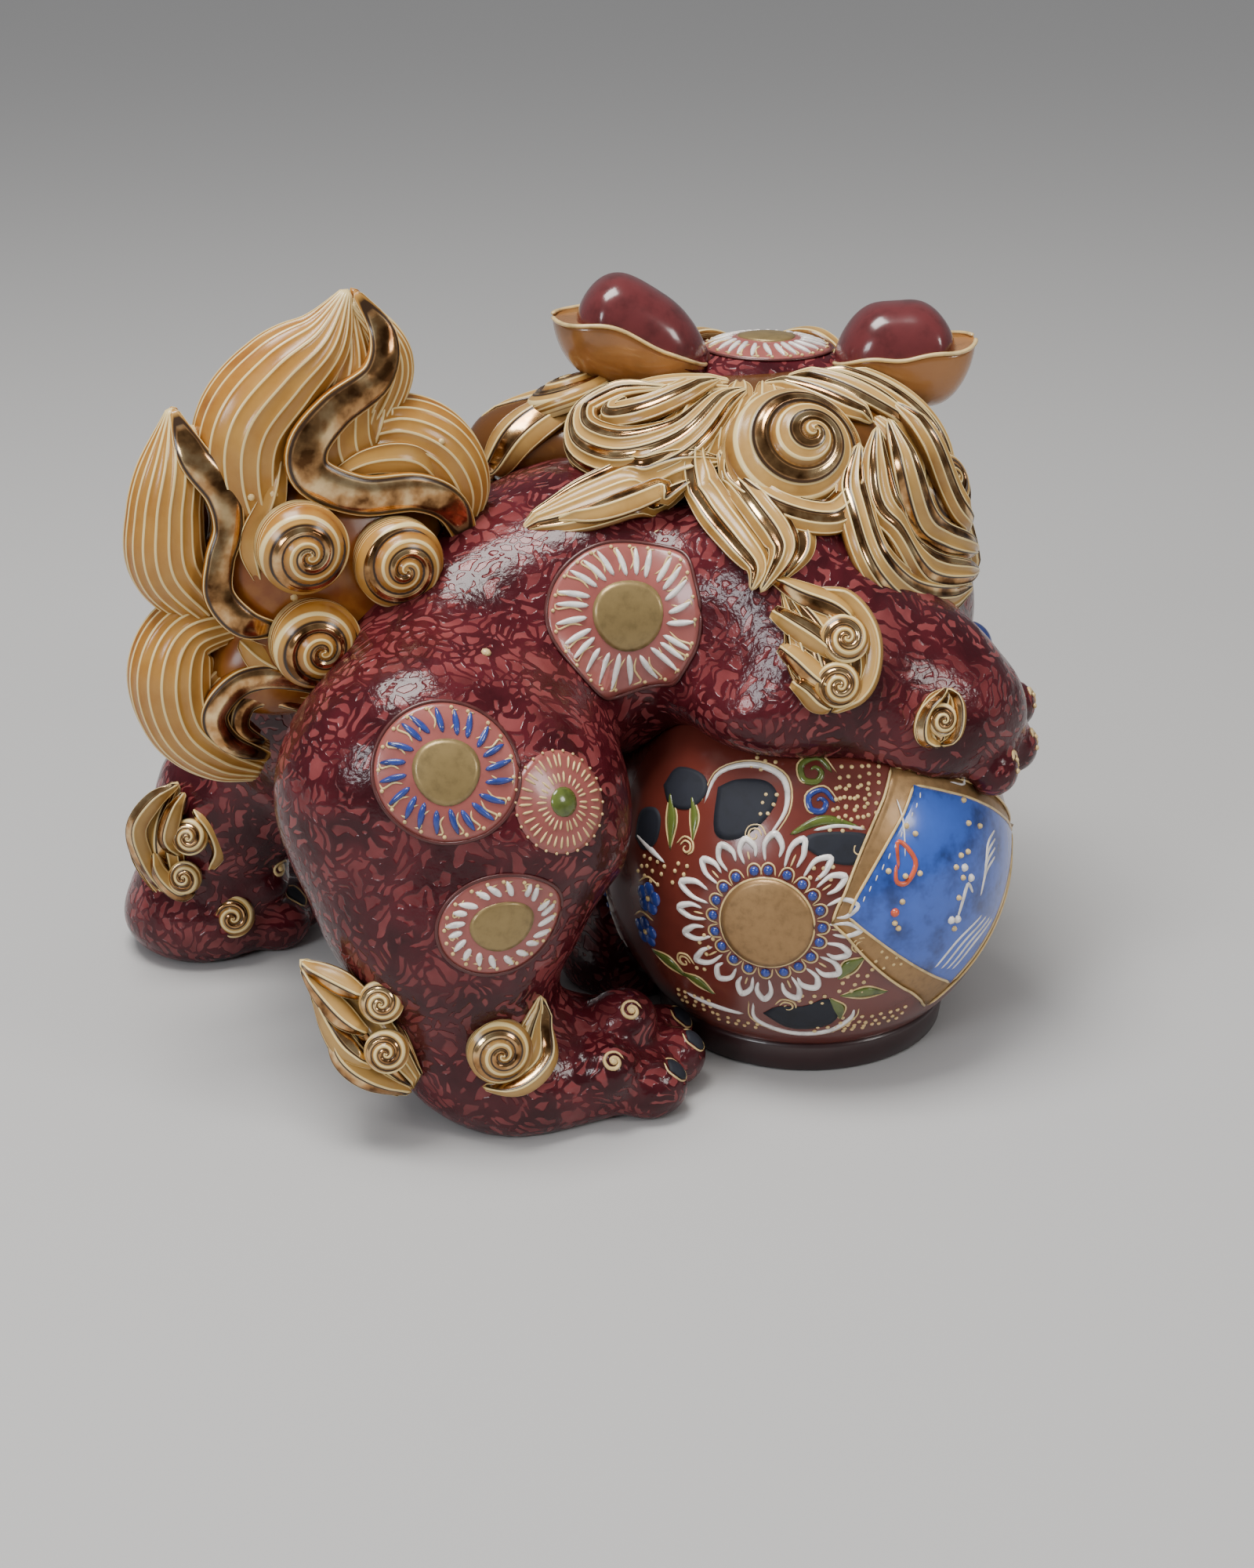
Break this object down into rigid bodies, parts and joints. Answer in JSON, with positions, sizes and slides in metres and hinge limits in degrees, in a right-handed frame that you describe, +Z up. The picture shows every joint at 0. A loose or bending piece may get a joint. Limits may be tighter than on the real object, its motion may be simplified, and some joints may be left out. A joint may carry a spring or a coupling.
{
  "type": "guardian lion figurine",
  "caption": "Glazed porcelain guardian lion, head turned back over its left side, right forepaw on a brocade ball, with curled mane and flame tail.",
  "frame": {"origin": "middle of the bounding box's footprint, on the surface that the foot ring and the feet stand on", "axes": "+X from the tail towards the chest, +Y to the dog's left side, +Z up"},
  "size_m": [0.254, 0.1884, 0.212],
  "materials": {
    "maroon_glaze": "glossy maroon glaze with a dark brushed web over pinkish red",
    "amber_glaze": "amber glaze with raised pale yellow lines and bright gilt bands",
    "brocade_glaze": "red-brown glaze with raised white, blue, green and gilt enamels",
    "dark_glaze": "dark maroon satin glaze",
    "white_enamel": "glossy ivory white enamel",
    "red_enamel": "glossy red enamel",
    "blue_enamel": "glossy cobalt blue enamel"
  },
  "bodies": {
    "root": {"ball_shell": "brocade_glaze", "ball_foot_ring": "dark_glaze", "trunk_shell": "maroon_glaze", "right_foreleg": "maroon_glaze", "left_foreleg": "maroon_glaze", "right_hind_leg": "maroon_glaze", "left_hind_leg": "maroon_glaze", "head_shell": "maroon_glaze", "lower_jaw": "maroon_glaze", "tongue": "red_enamel", "nose": "maroon_glaze", "upper_teeth": "white_enamel", "lower_teeth": "white_enamel", "left_eye": "white_enamel", "left_brow": "amber_glaze", "left_ear": "maroon_glaze", "left_cheek_curl": "amber_glaze", "right_eye": "white_enamel", "right_brow": "amber_glaze", "right_ear": "maroon_glaze", "right_cheek_curl": "amber_glaze", "beard": "amber_glaze", "mane_cape": "amber_glaze", "mane_big_curl": "amber_glaze", "mane_left_curl": "amber_glaze", "mane_leaf_lock": "amber_glaze", "mane_middle_lock": "amber_glaze", "mane_right_lock": "amber_glaze", "mane_right_curl": "amber_glaze", "mane_front_lock": "amber_glaze", "mane_left_side_lock": "amber_glaze", "mane_left_side_curl": "amber_glaze", "mane_chest_lock": "amber_glaze", "mane_throat_lock": "amber_glaze", "tail_base": "amber_glaze", "tail_top_flame": "amber_glaze", "tail_left_flame": "amber_glaze", "tail_hook": "amber_glaze", "tail_rear_curl_right": "amber_glaze", "tail_front_curl_right": "amber_glaze", "tail_low_curl_right": "amber_glaze", "tail_rear_curl_left": "amber_glaze", "tail_front_curl_left": "amber_glaze", "tail_low_curl_left": "amber_glaze", "right_elbow_tuft": "amber_glaze", "right_paw_curl": "amber_glaze", "left_elbow_tuft": "amber_glaze", "right_hock_tuft": "amber_glaze", "right_ankle_curl": "amber_glaze", "left_hock_tuft": "amber_glaze", "left_ankle_curl": "amber_glaze", "chest_bell": "blue_enamel"}
  },
  "joints": []
}
